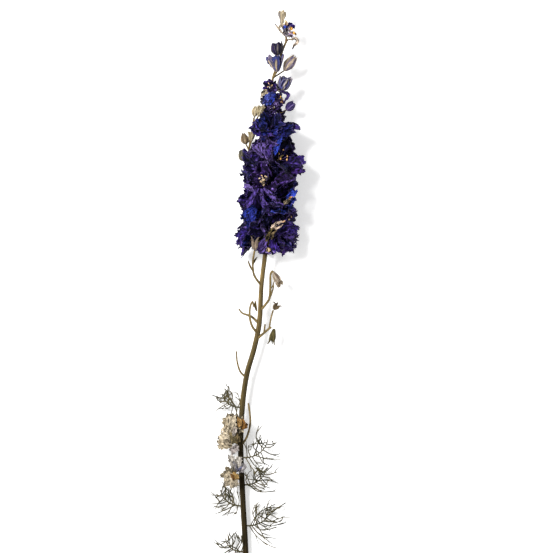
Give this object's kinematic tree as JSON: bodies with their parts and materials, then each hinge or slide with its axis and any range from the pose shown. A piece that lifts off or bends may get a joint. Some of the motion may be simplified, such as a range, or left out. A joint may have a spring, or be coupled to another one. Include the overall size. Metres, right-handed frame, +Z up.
{
  "type": "delphinium flower spike",
  "caption": "Cut stem of dried dark violet double delphinium (larkspur), lying down, with crumpled florets, tip buds, side sprig, seed pods and thread leaves.",
  "frame": {"origin": "middle of the bounding box in X and Y, on the surface that the spike lies on", "axes": "+X along the spike from the cut end to the tip, +Y to its left when it is seen from above, +Z up from the surface"},
  "size_m": [0.5002, 0.0575, 0.0322],
  "materials": {
    "stem": "dry, finely ridged tan stalk",
    "petal": "dry crumpled indigo violet petals with paler edges",
    "faded": "faded cream petals with brown hearts",
    "bud": "cream ribbed buds with blue violet stripes",
    "pod": "dry tan to olive seed pods",
    "leaf": "dry dark olive thread leaves"
  },
  "bodies": {
    "root": {"stem": "stem", "seed_pods_1": "pod", "seed_pods_2": "pod", "seed_pods_3": "pod", "bud_tip": "bud", "bud_dark": "bud", "bud_blue": "bud", "bud_striped": "bud", "bud_violet": "bud", "sprig_bud_1": "bud", "sprig_bud_2": "bud", "sprig_bud_3": "bud", "sprig_bud_4": "bud", "sprig_bud_5": "bud", "floret_01": "petal", "floret_02": "petal", "floret_03": "petal", "floret_04": "petal", "floret_05": "petal", "floret_06": "petal", "floret_07": "petal", "floret_08": "petal", "floret_09": "petal", "floret_10": "petal", "floret_11": "petal", "floret_12": "petal", "floret_13": "petal", "floret_14": "petal", "floret_15": "petal", "floret_16": "petal", "floret_17": "petal", "floret_18": "petal", "floret_19": "petal", "floret_20": "petal", "floret_21": "petal", "floret_22": "petal", "floret_23": "petal", "floret_24": "petal", "floret_25": "petal", "floret_26": "petal", "floret_27": "petal", "floret_28": "petal", "floret_29": "petal", "floret_30": "petal", "tip_floret": "petal", "dry_flower": "faded", "faded_floret_1": "faded", "faded_floret_2": "faded", "faded_floret_3": "faded", "leaf_1": "leaf", "leaf_2": "leaf", "leaf_3": "leaf", "leaf_4": "leaf", "leaf_5": "leaf", "leaf_6": "leaf", "leaf_7": "leaf"}
  },
  "joints": []
}
